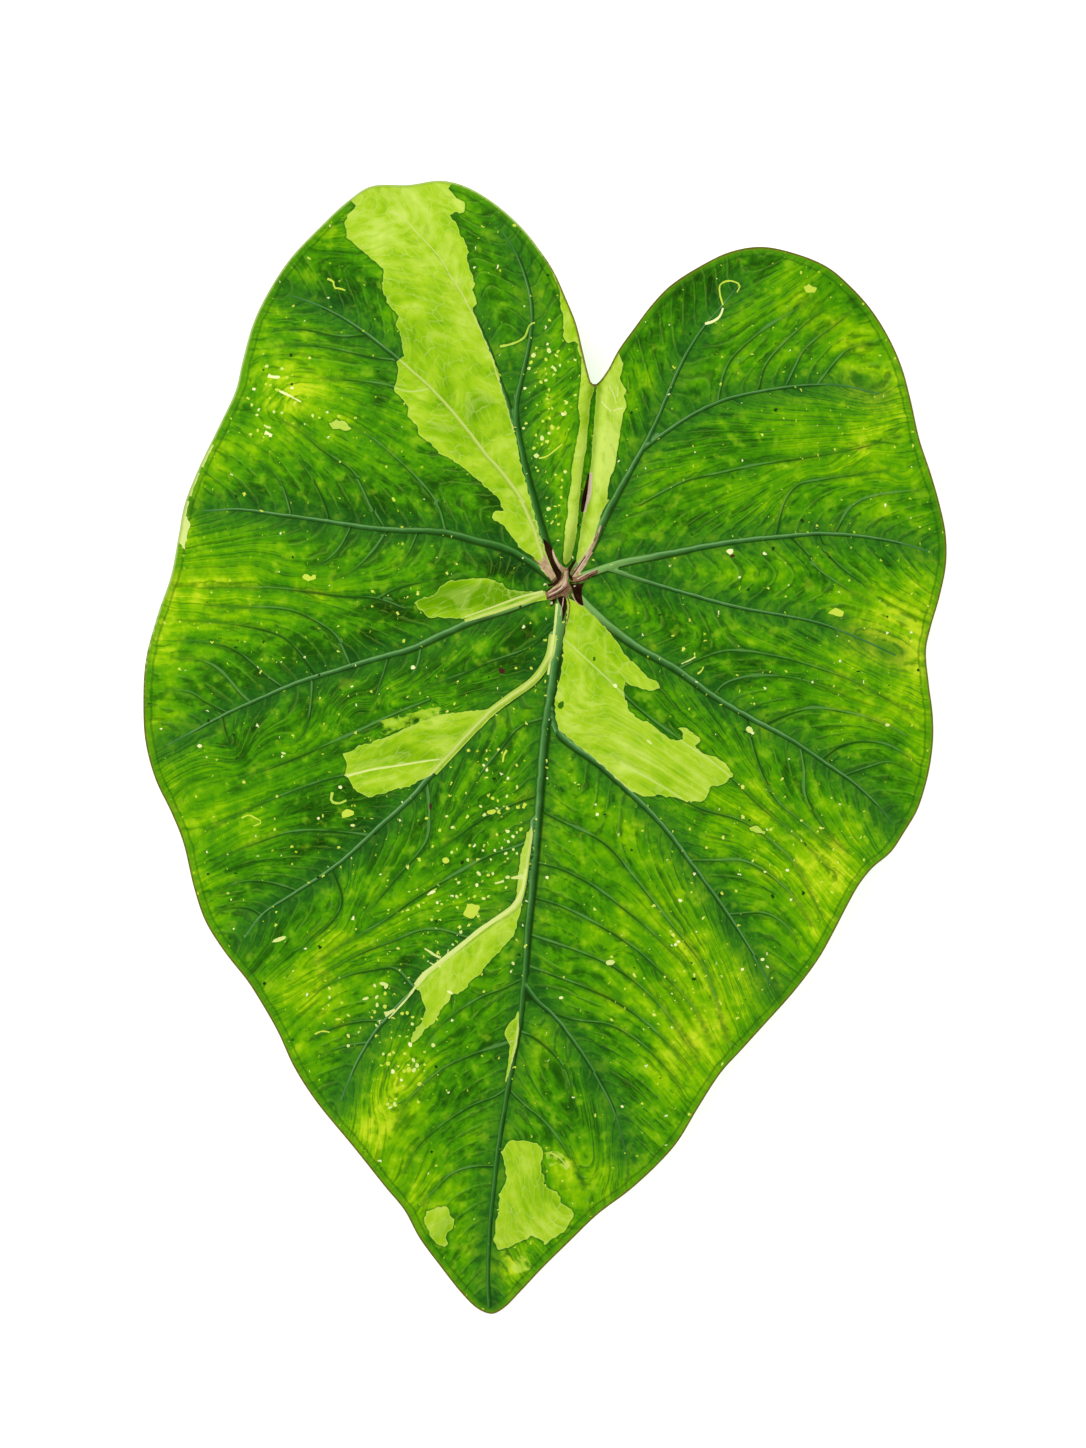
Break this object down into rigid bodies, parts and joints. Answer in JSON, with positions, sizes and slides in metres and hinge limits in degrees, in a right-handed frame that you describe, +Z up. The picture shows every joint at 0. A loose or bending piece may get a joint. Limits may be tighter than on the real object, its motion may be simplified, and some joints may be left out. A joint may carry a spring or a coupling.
{
  "type": "variegated taro leaf",
  "caption": "Cut heart-shaped taro leaf lying face up, green with lime patches, sunk veins, a waved margin and a short stalk end under its hub.",
  "frame": {"origin": "on the surface that the leaf lies on, under the middle of the outline's box", "axes": "+Y along the leaf's length from the tip towards the lobes, +X to the right seen from above, +Z up out of the upper face"},
  "size_m": [0.2124, 0.2998, 0.024],
  "materials": {
    "leaf_lamina": "satin living leaf, deep to yellow green with lime patches and pale veins",
    "leaf_stalk": "smooth waxy green stalk, browner at the hub, pale spongy cut face"
  },
  "bodies": {
    "root": {"leaf_blade": "leaf_lamina", "petiole_stub": "leaf_stalk"}
  },
  "joints": []
}
